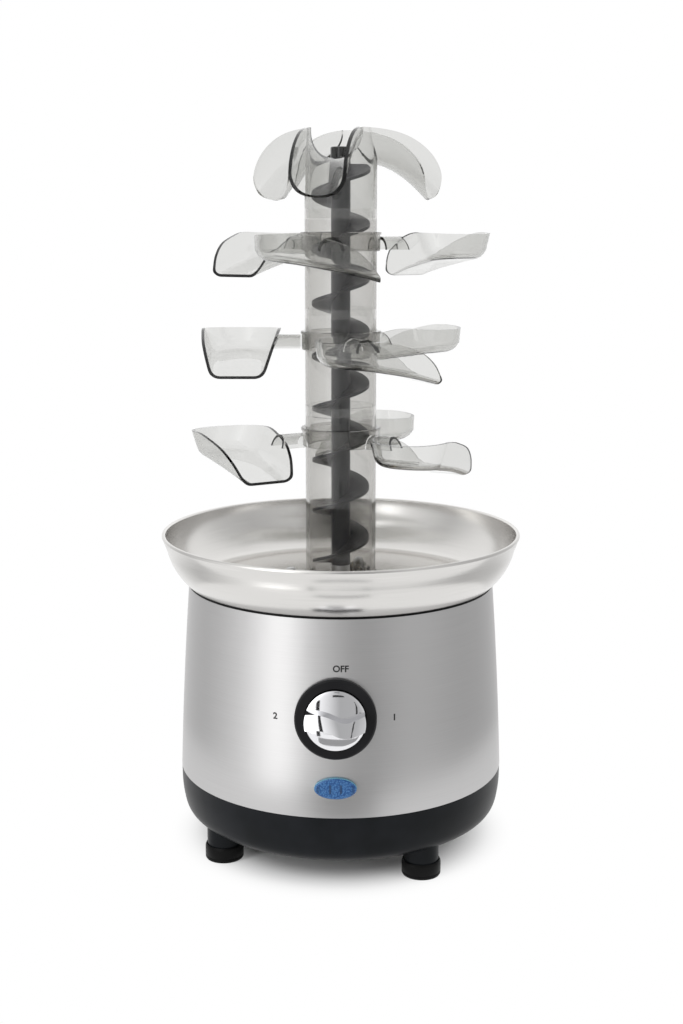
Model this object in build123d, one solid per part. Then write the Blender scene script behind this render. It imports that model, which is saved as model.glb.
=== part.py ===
from build123d import *
import math
import os

# Chocolate fountain. Millimetres, +Z up, origin on the floor under the tower's axis, front towards -Y.

# Heights of the base
foot_height = 10.0
pan_bottom = 16.5
seam_height = 48.5
shell_top = 167.8
bowl_floor = 167.0

# Base shell and pan
shell_top_radius = 97.0
shell_bottom_radius = 103.9
shell_bulge = 0.6
shell_sheet = 0.8
pan_wall = 2.6
pan_floor_radius = 90.0

# Feet
foot_count = 4
foot_first_angle = 34.0
foot_circle = 88.4
foot_radius = 12.0
foot_boss_radius = 10.7
foot_boss_bottom = 6.3
foot_stud_radius = 4.0
foot_stud_top = 34.0

# Bowl
bowl_sheet = 1.0
bowl_flat_radius = 88.0
bowl_rim_radius = 111.6
bowl_rim_height = 200.1
bowl_bead = 2.1
bowl_shoulder_radius = 97.7
bowl_shoulder_height = 170.2

# Locating studs
stud_count = 3
stud_first_angle = 65.0
stud_circle = 32.0
stud_head_radius = 3.75
stud_head_height = 9.5
stud_thread_radius = 2.5

# Tower tube
tube_radius = 22.25
tube_bore = 20.15
tier_pitch = 60.2
top_seam = 401.2
spigot_length = 6.0
spigot_clearance = 0.1
seat_gap = 0.05
foot_ring_radius = 25.0
foot_ring_height = 5.0
inlet_width = 15.0
inlet_height = 8.0

# Collars
collar_drop = 14.0
collar_height = 11.4
collar_radius = 24.4
collar_flange_radius = 25.0
collar_flange = 1.6

# Scoops
scoop_circle = 61.0
scoop_half_width = 23.0
scoop_back = 49.5
scoop_lip = 23.0
scoop_wall = 1.8
scoop_draft = 11.0
scoop_corner = 8.0
scoop_back_depth = 15.0
scoop_mid_depth = 19.8
scoop_lip_depth = 28.6
scoop_rim_drop = 1.2
arm_radius = 4.1
arm_drop = 5.6
first_scoop_angles = (30.0, 60.0, 90.0)

# Crown
crown_height = 47.8
crown_top = top_seam + crown_height
crown_first_angle = 17.0
chute_half_width = 17.25
chute_wall = 2.1
chute_depth = 21.0
chute_floor = crown_top - chute_depth
chute_slope = 0.2116
chute_curve = 0.01205
chute_reach = 61.6

# Auger and its drive
auger_radius = 18.0
auger_core = 6.0
auger_pitch = 32.6
auger_bottom = 178.3
auger_top = 431.5
auger_start_angle = 170.0
flight_start = 179.5
flight_end = 427.2
flight_thickness = 1.8
cap_height = 6.5
shaft_radius = 4.0
shaft_square = 6.0
shaft_top = 191.0
drive_clearance = 0.08
coupling_bottom = 170.6
bearing_clearance = 0.04

# Drive and heater under the bowl
spreader_radius = 62.0
spreader_thickness = 4.0
element_circle = 49.0
element_radius = 3.3
element_angle = 290.0
motor_plate_height = 144.0
motor_plate_thickness = 2.5
motor_plate_radius = 44.0
spacer_radius = 5.0
gearbox_radius = 31.0
gearbox_height = 26.0
motor_radius = 24.0
motor_height = 46.0

# Bolts that tie the pan to the motor plate
tie_count = 3
tie_first_angle = 5.0
tie_circle = 39.0
tie_radius = 2.0

# Controls
control_angle = 268.3
knob_height = 109.2
bezel_radius = 24.1
bezel_opening = 18.5
bezel_proud = 3.4
knob_radius = 18.0
knob_skirt = 5.4
knob_dome = 9.0
grip_height = 13.5
grip_width = 9.4
grip_wave = 1.6
spindle_radius = 3.0
switch_side = 28.0
switch_depth = 17.0
lamp_drop = 42.0
lamp_height = knob_height - lamp_drop
lamp_length = 25.2
lamp_width = 13.0
lamp_proud = 2.0
lamp_wall = 1.2

parts = {}


def turned(*points):
    ring = Polyline(*[(r, 0, z) for r, z in points], close=True)
    return revolve(make_face(ring), Axis.Z, 360)


def post(radius, low, high, x=0.0, y=0.0):
    upright = Cylinder(radius, high - low, align=(Align.CENTER, Align.CENTER, Align.MIN))
    return Pos(x, y, low) * upright


def around(angle, radius):
    turn = math.radians(angle)
    return radius * math.cos(turn), radius * math.sin(turn)


def spread(first, count):
    return [first + 360.0 * k / count for k in range(count)]


def shell_radius_at(height, inset=0.0):
    share = (shell_top - height) / (shell_top - seam_height)
    straight = shell_top_radius + share * (shell_bottom_radius - shell_top_radius)
    return straight + shell_bulge * 4 * share * (1 - share) - inset


def group(solids):
    return Compound(children=list(solids))


# Base pan: a moulded dish with rounded underside, foot bosses and air slots
pan_top = seam_height - 0.1
pan_line = [
    (shell_bottom_radius - 0.1, pan_top),
    (shell_bottom_radius - 0.2, seam_height - 9),
    (shell_bottom_radius - 1.4, pan_bottom + 12.5),
    (shell_bottom_radius - 4.2, pan_bottom + 5.0),
    (pan_floor_radius + 2.5, pan_bottom + 0.6),
    (pan_floor_radius - 4, pan_bottom),
]
outer_edge = Spline(*[(r, 0, z) for r, z in pan_line], tangents=[(-0.01, 0, -1), (-1, 0, 0)])
pan_outer = make_face(
    Curve() + [
        outer_edge,
        Line((pan_floor_radius - 4, 0, pan_bottom), (0, 0, pan_bottom)),
        Line((0, 0, pan_bottom), (0, 0, pan_top)),
        Line((0, 0, pan_top), (shell_bottom_radius - 0.1, 0, pan_top)),
    ]
)
pan = revolve(pan_outer, Axis.Z, 360)
pan -= turned(
    (0, pan_bottom + pan_wall),
    (pan_floor_radius - 5, pan_bottom + pan_wall),
    (pan_floor_radius + 4, pan_bottom + pan_wall + 4),
    (shell_bottom_radius - 4.5, pan_bottom + 14),
    (shell_bottom_radius - 1.5 - pan_wall, seam_height - 9),
    (shell_bottom_radius - 1.5 - pan_wall, seam_height + 1),
    (0, seam_height + 1),
)
lip_outer = shell_bottom_radius - shell_sheet - 0.3
pan += turned(
    (lip_outer - pan_wall, pan_top - 8),
    (lip_outer, pan_top - 8),
    (lip_outer, pan_top),
    (shell_radius_at(seam_height + 6) - shell_sheet - 0.3, seam_height + 6),
    (shell_radius_at(seam_height + 6) - shell_sheet - 0.3 - pan_wall, seam_height + 6),
    (lip_outer - pan_wall, pan_top),
)
for angle in spread(foot_first_angle, foot_count):
    x, y = around(angle, foot_circle)
    boss = post(foot_boss_radius, foot_boss_bottom, pan_bottom + 14, x, y)
    pan += boss & post(shell_bottom_radius - 3.0, 0, 60)
    pan -= post(foot_stud_radius + 0.08, 0, foot_stud_top + 4, x, y)
for angle in spread(foot_first_angle - 45, foot_count):
    for offset in range(-3, 4):
        slot = Box(26, 3, 12)
        pan -= Rot(0, 0, angle) * Pos(58, offset * 7.0, pan_bottom) * slot
for angle in spread(tie_first_angle, tie_count):
    x, y = around(angle, tie_circle)
    pan += post(tie_radius + 3.0, pan_bottom + 1, pan_bottom + 9, x, y)
    pan -= post(tie_radius + 0.1, pan_bottom - 1, pan_bottom + 10, x, y)
gland_x, gland_y = around(90, shell_bottom_radius)
pan -= Pos(gland_x, gland_y, 34) * Rot(90, 0, 0) * Cylinder(6.05, 20)
parts["base_pan"] = pan

# Cord gland in the back of the pan
gland = Cylinder(8.2, 2.4, align=(Align.CENTER, Align.CENTER, Align.MIN))
gland += Pos(0, 0, -9) * Cylinder(6.0, 9.2, align=(Align.CENTER, Align.CENTER, Align.MIN))
gland -= Cylinder(3.1, 40)
parts["cord_gland"] = Pos(0, shell_bottom_radius - 0.05, 34) * Rot(-90, 0, 0) * gland

# Steel shell: a spun sheet cone with a slight belly, open for the switch and the lamp
outer_belly = ThreePointArc(
    (shell_top_radius, 0, shell_top),
    (shell_radius_at((shell_top + seam_height) / 2), 0, (shell_top + seam_height) / 2),
    (shell_bottom_radius, 0, seam_height),
)
inner_belly = Pos(-shell_sheet, 0, 0) * outer_belly
shell_face = make_face(
    Curve() + [
        outer_belly,
        inner_belly,
        Line(outer_belly @ 0, inner_belly @ 0),
        Line(outer_belly @ 1, inner_belly @ 1),
    ]
)
shell = revolve(shell_face, Axis.Z, 360)
shell_body = make_face(
    Curve() + [
        outer_belly,
        Line(outer_belly @ 1, (0, 0, seam_height)),
        Line((0, 0, seam_height), (0, 0, shell_top)),
        Line((0, 0, shell_top), outer_belly @ 0),
    ]
)
shell_volume = revolve(shell_body, Axis.Z, 360)


def control_plane(height):
    slope = (shell_radius_at(height - 5) - shell_radius_at(height + 5)) / 10
    x, y = around(control_angle, shell_radius_at(height))
    out_x, out_y = around(control_angle, 1.0)
    side_x, side_y = around(control_angle + 90, 1.0)
    return Plane(origin=(x, y, height), x_dir=(side_x, side_y, 0), z_dir=(out_x, out_y, slope))


knob_plane = control_plane(knob_height)
lamp_plane = control_plane(lamp_height)
shell -= knob_plane * Cylinder(5.6, 12)
shell -= lamp_plane * extrude(Ellipse(lamp_length / 2 - 0.8, lamp_width / 2 - 0.8), 6, both=True)
parts["steel_shell"] = shell

# Bowl: flat floor, rounded shoulder, flared wall and rolled bead
centre_floor = bowl_floor - bowl_sheet / 2
floor_line = Line((11.0, 0, centre_floor), (bowl_flat_radius, 0, centre_floor))
shoulder = TangentArc(
    floor_line @ 1, (bowl_shoulder_radius, 0, bowl_shoulder_height), tangent=floor_line % 1
)
wall = TangentArc(
    shoulder @ 1, (bowl_rim_radius - 0.7, 0, bowl_rim_height - 1.6), tangent=shoulder % 1
)


def beside(edge, share, distance):
    point, along = edge @ share, edge % share
    return point.X + along.Z * distance, 0, point.Z - along.X * distance


def bowl_profile(distance):
    low = Line(beside(floor_line, 0, distance), beside(floor_line, 1, distance))
    bend = ThreePointArc(low @ 1, beside(shoulder, 0.5, distance), beside(shoulder, 1, distance))
    side = ThreePointArc(bend @ 1, beside(wall, 0.5, distance), beside(wall, 1, distance))
    return [low, bend, side]


outside = bowl_profile(bowl_sheet / 2)
inside = bowl_profile(-bowl_sheet / 2)
sheet_face = make_face(
    Curve() + [
        *outside,
        *inside,
        Line(outside[0] @ 0, inside[0] @ 0),
        Line(outside[2] @ 1, inside[2] @ 1),
    ]
)
bead = Plane.XZ * Pos(bowl_rim_radius, bowl_rim_height) * Circle(bowl_bead)
bowl = revolve(sheet_face, Axis.Z, 360) + revolve(bead, Axis.Z, 360)
bowl_under = bowl_floor - bowl_sheet
stud_places = [around(a, stud_circle) for a in spread(stud_first_angle, stud_count)]
for x, y in stud_places:
    bowl -= post(stud_thread_radius + 0.1, bowl_under - 5, bowl_floor + 5, x, y)
parts["bowl"] = bowl

# Sealing ring between the bowl's shoulder and the shell's edge
seal_block = turned(
    (shell_top_radius - 5.0, shell_top - 3.0),
    (shell_top_radius - shell_sheet - 0.15, shell_top - 3.0),
    (shell_top_radius - shell_sheet - 0.15, shell_top + 0.05),
    (shell_top_radius - 0.2, shell_top + 0.05),
    (shell_top_radius - 0.2, shell_top + 4.0),
    (shell_top_radius - 5.0, shell_top + 4.0),
)
bowl_solid_face = make_face(
    Curve() + [
        *bowl_profile(bowl_sheet / 2 + 0.03),
        Line(beside(wall, 1, bowl_sheet / 2 + 0.03), (0, 0, bowl_rim_height - 1.6)),
        Line((0, 0, bowl_rim_height - 1.6), (0, 0, bowl_under - 0.03)),
        Line((0, 0, bowl_under - 0.03), beside(floor_line, 0, bowl_sheet / 2 + 0.03)),
    ]
)
seal_ring = seal_block - revolve(bowl_solid_face, Axis.Z, 360)
parts["bowl_seal"] = seal_ring

# Locating studs with domed heads, and their nuts and spacers
studs, nuts, spacers = [], [], []
plate_low = motor_plate_height
plate_high = motor_plate_height + motor_plate_thickness
spreader_low = bowl_under - spreader_thickness
for x, y in stud_places:
    head = post(stud_head_radius, bowl_floor, bowl_floor + stud_head_height, x, y)
    head = fillet(head.edges().sort_by(Axis.Z)[-1], stud_head_radius * 0.75)
    studs.append(head + post(stud_thread_radius, plate_low - 6.5, bowl_floor + 1, x, y))
    nut = extrude(RegularPolygon(4.6, 6), 4)
    nut = Pos(x, y, plate_low - 4.0) * nut
    nuts.append(nut - post(stud_thread_radius, plate_low - 8, plate_low + 2, x, y))
    spacer = post(spacer_radius, plate_high, spreader_low, x, y)
    spacers.append(spacer - post(stud_thread_radius + 0.1, plate_high - 1, spreader_low + 1, x, y))
parts["locating_studs"] = group(studs)
parts["stud_nuts"] = group(nuts)
parts["plate_spacers"] = group(spacers)

# Heat spreader, sheathed element and thermostat under the bowl
spreader = post(spreader_radius, spreader_low, bowl_under) - post(17.0, spreader_low - 1, bowl_under + 1)
for x, y in stud_places:
    spreader -= post(stud_thread_radius + 0.1, spreader_low - 1, bowl_under + 1, x, y)
parts["heat_spreader"] = spreader
element_height = spreader_low - element_radius - 0.02
loop = Plane.XZ * Pos(element_circle, element_height) * Circle(element_radius)
element = Rot(0, 0, 125) * revolve(loop, Axis.Z, element_angle)
for angle in (125, 125 + element_angle):
    x, y = around(angle, element_circle)
    drop = post(element_radius, element_height - 16, element_height, x, y)
    element += drop
    element += Pos(x, y, element_height) * Sphere(element_radius)
parts["heating_element"] = element
stat_x, stat_y = around(245, 30)
thermostat = post(8.0, spreader_low - 9, spreader_low, stat_x, stat_y)
thermostat += Pos(stat_x, stat_y, spreader_low - 12) * Box(2, 11, 6)
parts["thermostat"] = thermostat

# Bearing hub through the bowl's centre, its nut and the lip seal
hub = turned(
    (0, 150.0),
    (9.0, 150.0),
    (9.0, bowl_under - 0.0),
    (11.0 - 0.05, bowl_under),
    (11.0 - 0.05, bowl_floor),
    (13.5, bowl_floor),
    (13.5, bowl_floor + 1.6),
    (12.0, bowl_floor + 2.8),
    (0, bowl_floor + 2.8),
)
hub -= post(shaft_radius + bearing_clearance, 149, bowl_floor + 5)
hub -= post(7.0, bowl_floor - 1.2, bowl_floor + 5)
parts["bearing_hub"] = hub
hub_nut = Pos(0, 0, bowl_under - 5.0) * extrude(RegularPolygon(15.5, 6), 5.0)
hub_nut -= post(9.0, bowl_under - 6, bowl_under + 1)
parts["hub_nut"] = hub_nut
lip_seal = post(7.0, bowl_floor - 1.2, bowl_floor + 2.6)
lip_seal -= post(shaft_radius + bearing_clearance, bowl_floor - 2, bowl_floor + 4)
parts["lip_seal"] = lip_seal

# Motor plate, gearbox and motor
plate = post(motor_plate_radius, plate_low, plate_high) - post(12.0, plate_low - 1, plate_high + 1)
for x, y in stud_places:
    plate -= post(stud_thread_radius + 0.1, plate_low - 1, plate_high + 1, x, y)
gear_screws = []
for angle in spread(stud_first_angle + 60, 3):
    x, y = around(angle, 20)
    plate -= post(2.1, plate_low - 1, plate_high + 1, x, y)
    screw = post(2.0, plate_low - 8, plate_high + 0.5, x, y)
    screw += post(3.6, plate_high, plate_high + 2.2, x, y)
    gear_screws.append(screw)
for angle in spread(tie_first_angle, tie_count):
    x, y = around(angle, tie_circle)
    plate -= post(tie_radius + 0.1, plate_low - 1, plate_high + 1, x, y)
parts["motor_plate"] = plate
parts["gearbox_screws"] = group(gear_screws)
gear_low = plate_low - gearbox_height
gearbox = post(gearbox_radius, gear_low, plate_low)
for x, y in stud_places:
    gearbox -= post(7.5, plate_low - 9, plate_low + 1, x, y)
    scallop = post(7.5, gear_low - 1, plate_low + 1, *around(math.degrees(math.atan2(y, x)), 34))
    gearbox -= scallop
gearbox += post(11.0, plate_low, plate_high + 1.5)
gearbox -= post(shaft_radius + bearing_clearance, plate_low - 18, plate_high + 3)
for angle in spread(stud_first_angle + 60, 3):
    x, y = around(angle, 20)
    gearbox -= post(2.0, plate_low - 8, plate_low + 1, x, y)
parts["gearbox"] = gearbox
motor = post(motor_radius, gear_low - motor_height, gear_low)
motor = fillet(motor.edges().sort_by(Axis.Z)[0], 3)
motor += post(7, gear_low - motor_height - 4, gear_low - motor_height + 1)
for angle in spread(20, 8):
    slot = Rot(0, 0, angle) * Pos(motor_radius - 4, 0, gear_low - motor_height) * Box(7, 4, 4)
    motor -= slot
parts["motor"] = motor

# Drive shaft with a square end and its coupling collar
shaft = post(shaft_radius, plate_low - 17, coupling_bottom + 5)
shaft += post(3.9, coupling_bottom + 4, auger_bottom - seat_gap)
square_high = Box(shaft_square, shaft_square, shaft_top - coupling_bottom - 4,
                  align=(Align.CENTER, Align.CENTER, Align.MIN))
shaft += (Pos(0, 0, coupling_bottom + 4) * square_high) & post(3.9, 100, shaft_top)
parts["drive_shaft"] = shaft
coupling = post(auger_core, coupling_bottom, auger_bottom - seat_gap)
coupling -= shaft
parts["drive_coupling"] = coupling

# Auger: a right-handed flight round a core with a square socket, and its cap
core = post(auger_core, auger_bottom, auger_top)
flight_line = Helix(auger_pitch, flight_end - flight_start, (auger_radius + auger_core) / 2)
section = Plane(origin=flight_line @ 0, x_dir=(1, 0, 0), z_dir=flight_line % 0)
blade = Rectangle(auger_radius - auger_core + 1.0, flight_thickness)
blade = section * Pos(-0.5, 0) * blade
flight = sweep(blade, path=flight_line, is_frenet=True)
flight = Pos(0, 0, flight_start) * Rot(0, 0, auger_start_angle) * flight
auger = core + flight
socket_side = shaft_square + 2 * drive_clearance
socket = Box(socket_side, socket_side, shaft_top - auger_bottom + 1.5,
             align=(Align.CENTER, Align.CENTER, Align.MIN))
auger -= (Pos(0, 0, auger_bottom - 0.5) * socket) & post(3.9 + drive_clearance, 100, 300)
parts["auger"] = auger
cap = post(auger_core + 0.3, auger_top, auger_top + cap_height)
parts["auger_cap"] = fillet(cap.edges().sort_by(Axis.Z)[-1], 0.8)


# Scoop: a drafted trough with a sloping floor and a rim that sweeps down to the lip
def scoop_floor(extra):
    return ThreePointArc(
        (-scoop_back - 2, 0, -scoop_back_depth + extra),
        (-10, 0, -scoop_mid_depth + extra),
        (scoop_lip + 10, 0, -scoop_lip_depth - 2.6 + extra),
    )


def trough(inset, top):
    floor = scoop_floor(inset)
    side = make_face(
        Curve() + [
            floor,
            Line(floor @ 1, (scoop_lip + 10, 0, top)),
            Line((scoop_lip + 10, 0, top), (-scoop_back - 2, 0, top)),
            Line((-scoop_back - 2, 0, top), floor @ 0),
        ]
    )
    long_block = extrude(side, 40, both=True)
    lean = math.tan(math.radians(scoop_draft))
    outlines = []
    for z in (top, -40.0):
        half = scoop_half_width - inset + z * lean
        back = -scoop_back + inset - z * lean * 0.45
        outline = Polyline(
            (back, -half, z), (scoop_lip + 12, -half, z), (scoop_lip + 12, half, z), (back, half, z),
            close=True,
        )
        outlines.append(make_face(outline))
    body = long_block & loft(outlines)
    radius = scoop_corner - inset
    back_edges = [e for e in body.edges() if (e @ 0.5).X < -scoop_back + 12 and abs((e @ 0.5).Z - top) > 0.5]
    floor_edges = [
        e for e in body.edges()
        if (e @ 0.5).X >= -scoop_back + 12 and (e @ 0.5).Z < -10 and (e @ 0.5).X < scoop_lip + 9
    ]
    return fillet(back_edges + floor_edges, radius)


def rim_cut():
    rim = Spline(
        (-19.0, 0, 0), (-2.3, 0, -4.4), (8.0, 0, -10.2), (16.0, 0, -17.6),
        (scoop_lip + 0.4, 0, -scoop_lip_depth),
        tangents=[(1, 0, 0), (0.45, 0, -1)],
    )
    below = make_face(
        Curve() + [
            rim,
            Line(rim @ 1, (scoop_lip + 0.4, 0, -60)),
            Line((scoop_lip + 0.4, 0, -60), (-scoop_back - 5, 0, -60)),
            Line((-scoop_back - 5, 0, -60), (-scoop_back - 5, 0, 0)),
            Line((-scoop_back - 5, 0, 0), (-19.0, 0, 0)),
        ]
    )
    return extrude(below, 60, both=True)


scoop_shape = trough(0.0, 6.0) & rim_cut()
arm_end = scoop_circle - scoop_half_width + 5
arm = Pos(0, -scoop_circle + tube_radius + 0.1, -arm_drop) * Rot(-90, 0, 0) * Cylinder(
    arm_radius, arm_end - tube_radius - 0.1, align=(Align.CENTER, Align.CENTER, Align.MIN)
)
scoop_shape = (scoop_shape + arm) - trough(scoop_wall, 8.0)


# In its own frame the scoop has the tower towards -Y, and it is mirrored so that all of them pour
# counter-clockwise round the tower
scoop_shape = scoop_shape.mirror(Plane.YZ)

# Tiers: tube length with spigots, collar and three scoops
tier_names = ("upper", "middle", "lower")
for k, tier in enumerate(tier_names):
    high = top_seam - k * tier_pitch
    low = high - tier_pitch if k < 2 else bowl_floor + seat_gap
    tube = post(tube_radius, low, high) - post(tube_bore, low - 1, high + 1)
    tube -= post(tube_radius - 1.0, high - spigot_length - 0.3, high + 1)
    if k < 2:
        spigot = post(tube_radius - 1.0 - spigot_clearance, low - spigot_length, low + 0.5)
        tube += spigot - post(tube_bore, low - 10, low + 2)
    else:
        ring = post(foot_ring_radius, low, low + foot_ring_height)
        for angle in spread(stud_first_angle, stud_count):
            x, y = around(angle, stud_circle)
            ear = Rot(0, 0, angle) * Pos(stud_circle / 2, 0, low + foot_ring_height / 2)
            ring += ear * Box(stud_circle, 13, foot_ring_height)
            ring += post(6.5, low, low + foot_ring_height, x, y)
        for angle in spread(stud_first_angle, stud_count):
            x, y = around(angle, stud_circle)
            ring -= post(stud_head_radius + 0.15, low - 1, low + foot_ring_height + 1, x, y)
        ring -= post(tube_bore, low - 1, low + foot_ring_height + 1)
        tube += ring
        for angle in spread(stud_first_angle - 60, stud_count):
            inlet = Box(20, inlet_width, inlet_height * 2)
            arch = Pos(0, 0, inlet_height) * Rot(0, 90, 0) * Cylinder(inlet_width / 2, 20)
            tube -= Rot(0, 0, angle) * Pos(tube_radius + 2, 0, low) * (inlet & Box(20, inlet_width, inlet_height * 2))
    parts[f"{tier}_tube"] = tube

    collar_top = high - collar_drop
    collar = turned(
        (tube_radius + 0.03, collar_top - collar_height),
        (collar_radius, collar_top - collar_height),
        (collar_radius, collar_top - collar_flange),
        (collar_flange_radius, collar_top - collar_flange),
        (collar_flange_radius, collar_top),
        (tube_radius + 0.03, collar_top),
    )
    rim_height = collar_top - scoop_rim_drop
    for number, angle in enumerate(spread(first_scoop_angles[k], 3), 1):
        hole = Location((0, 0, rim_height - arm_drop), (0, 0, angle)) * Pos(tube_radius, 0, 0)
        collar -= hole * Rot(0, 90, 0) * Cylinder(arm_radius + 0.02, 12)
        x, y = around(angle, scoop_circle)
        scoop = Location((x, y, rim_height), (0, 0, angle - 90)) * scoop_shape
        parts[f"{tier}_scoop_{number}"] = scoop
    parts[f"{tier}_collar"] = collar


# Crown: three gutters that curve down and out from the top of the tube
def chute_height(x, lift):
    run = x - tube_radius
    slope = chute_slope + 2 * chute_curve * max(run, 0)
    drop = chute_slope * run + chute_curve * max(run, 0) ** 2
    return chute_floor - drop + lift * math.hypot(1, slope)


def gutter(half, lift, top):
    faces = []
    for x in (0.0, tube_radius, 36.0, 48.0, 58.0, 68.0):
        low = chute_height(x, lift)
        edges = [
            ThreePointArc((x, -half, low + half), (x, 0, low), (x, half, low + half)),
            Line((x, half, low + half), (x, half, top)),
            Line((x, half, top), (x, -half, top)),
            Line((x, -half, top), (x, -half, low + half)),
        ]
        faces.append(make_face(Curve() + edges))
    return loft(faces)


rim_line = Spline(
    (15.0, 0, crown_top), (27.0, 0, crown_top - 0.9), (37.5, 0, crown_top - 3.4),
    (47.5, 0, crown_top - 8.4), (54.0, 0, crown_top - 13.8), (59.5, 0, crown_top - 21.5),
    (chute_reach, 0, crown_top - 29.0), (60.6, 0, crown_top - 36.0), (56.6, 0, crown_top - 42.0),
    tangents=[(1, 0, 0), (-1, 0, -0.55)],
)
crown_zone = make_face(
    Curve() + [
        rim_line,
        Line(rim_line @ 1, (50.0, 0, top_seam - 10)),
        Line((50.0, 0, top_seam - 10), (0, 0, top_seam - 10)),
        Line((0, 0, top_seam - 10), (0, 0, crown_top)),
        Line((0, 0, crown_top), rim_line @ 0),
    ]
)
crown_zone = revolve(crown_zone, Axis.Z, 360)
chute_angles = spread(crown_first_angle, 3)
outer_chute = gutter(chute_half_width, 0.0, crown_top + 12)
inner_chute = gutter(chute_half_width - chute_wall, chute_wall, crown_top + 14)
crown = post(tube_radius, top_seam, crown_top)
for angle in chute_angles:
    crown += Rot(0, 0, angle) * outer_chute
crown = crown & crown_zone
crown += post(tube_radius - 1.0 - spigot_clearance, top_seam - spigot_length, top_seam + 1)
crown -= post(tube_bore, top_seam - 10, crown_top + 1)
for angle in chute_angles:
    crown -= Rot(0, 0, angle) * inner_chute
parts["crown"] = crown

# Levelling feet: threaded stud and rubber cup
for number, angle in enumerate(spread(foot_first_angle, foot_count), 1):
    x, y = around(angle, foot_circle)
    stud = post(foot_stud_radius, 3.0, foot_stud_top, x, y)
    stud += post(8.0, 3.0, foot_boss_bottom - 0.3, x, y)
    parts[f"foot_stud_{number}"] = stud
    cup = post(foot_radius, 0, foot_height, x, y)
    cup = fillet(cup.edges().sort_by(Axis.Z)[0], 1.2)
    cup = fillet(cup.edges().sort_by(Axis.Z)[-1], 0.6)
    cup -= post(foot_boss_radius + 0.3, foot_boss_bottom - 0.3, foot_height + 1, x, y)
    cup -= post(8.0, 3.0, foot_height, x, y)
    parts[f"foot_pad_{number}"] = cup

# Bezel: a black dish that follows the shell, with the knob inside it
bezel = extrude(Circle(bezel_radius), bezel_proud)
bezel = chamfer(bezel.edges().sort_by(Axis.Z)[-1], 1.0)
bezel += Pos(0, 0, -6) * extrude(Circle(bezel_radius), 6.2)
bezel -= extrude(Circle(bezel_opening), 20)
bezel = knob_plane * bezel
bezel -= shell_volume
bezel -= knob_plane * Cylinder(spindle_radius + 2.6, 30)
parts["knob_bezel"] = bezel

# Rotary switch body, bush and nut behind the shell
switch = Pos(0, 0, -switch_depth / 2 - 3.0) * Box(switch_side, switch_side, switch_depth)
switch += Pos(0, 0, -3.5) * extrude(Circle(5.5), 3.0)
switch += extrude(Circle(4.2), 0.5, both=True)
switch -= Pos(0, 0, -8) * extrude(Circle(spindle_radius + bearing_clearance), 20)
parts["rotary_switch"] = knob_plane * switch

# Spindle and chrome knob with a wavy grip
spindle = Pos(0, 0, -7.5) * extrude(Circle(spindle_radius), 7.5 + 8.0)
parts["switch_spindle"] = knob_plane * spindle
knob_low = 1.0
knob = Pos(0, 0, knob_low) * extrude(Circle(knob_radius), knob_skirt - knob_low)
dome_rise = knob_dome - knob_skirt
dome_radius = (knob_radius ** 2 + dome_rise ** 2) / (2 * dome_rise)
dome = Pos(0, 0, knob_dome - dome_radius) * Sphere(dome_radius)
knob += dome & (Pos(0, 0, knob_skirt - 0.2) * extrude(Circle(knob_radius), 10))
wave = Spline(
    (-knob_radius - 2, grip_wave * 0.5), (-8.5, grip_wave), (0, 0), (8.5, -grip_wave),
    (knob_radius + 2, -grip_wave * 0.5),
)
grip = Pos(0, 0, 2.0) * extrude(trace(wave, grip_width), grip_height - 2.0)
grip_trim = Pos(0, 0, 1.0) * extrude(Circle(knob_radius), grip_height)
grip_trim = fillet(grip_trim.edges().sort_by(Axis.Z)[-1], 4.0)
grip = grip & grip_trim
knob += grip
knob -= extrude(Circle(spindle_radius), 8.0)
parts["knob"] = knob_plane * knob

# Oval lamp: lens, two bulbs and a holder
lens_outer = Pos(0, 0, -4) * extrude(Ellipse(lamp_length / 2 - 1.0, lamp_width / 2 - 1.0), 4.3)
lens_dome = extrude(Ellipse(lamp_length / 2, lamp_width / 2), lamp_proud + 0.8)
lens_dome = fillet(lens_dome.edges().sort_by(Axis.Z)[-1], 1.5)
lens_dome = (lamp_plane * lens_dome) - shell_volume
lens = (lamp_plane * lens_outer) + lens_dome
hollow = Pos(0, 0, -5) * extrude(
    Ellipse(lamp_length / 2 - 1.0 - lamp_wall, lamp_width / 2 - 1.0 - lamp_wall), 5.6
)
lens -= lamp_plane * hollow
parts["lamp_lens"] = lens
holder = Pos(0, 0, -18) * Box(20, 11, 14, align=(Align.CENTER, Align.CENTER, Align.MIN))
holder += Pos(0, 0, -6) * extrude(Ellipse(lamp_length / 2 - 1.0, lamp_width / 2 - 1.0), 2.0)
bulbs = []
for side in (-3.6, 3.6):
    holder -= Pos(side, 0, -12) * extrude(Circle(1.8), 20)
    bulbs.append(lamp_plane * (Pos(side, 0, -12) * extrude(Circle(1.7), 11.5)))
parts["lamp_holder"] = lamp_plane * holder
parts["lamp_bulbs"] = group(bulbs)

# Long bolts that tie the pan to the motor plate
ties = []
for angle in spread(tie_first_angle, tie_count):
    x, y = around(angle, tie_circle)
    tie = post(tie_radius, pan_bottom - 1, plate_high + 4, x, y)
    tie += Pos(x, y, pan_bottom - 3.0) * extrude(RegularPolygon(tie_radius * 1.9, 6), 3.0)
    tie += Pos(x, y, plate_high) * extrude(RegularPolygon(tie_radius * 1.9, 6), 3.2)
    ties.append(tie)
parts["tie_bolts"] = group(ties)

for name, shape in parts.items():
    export_step(shape, f"parts/{name}.step")
print(len(parts), "nodes")
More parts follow.
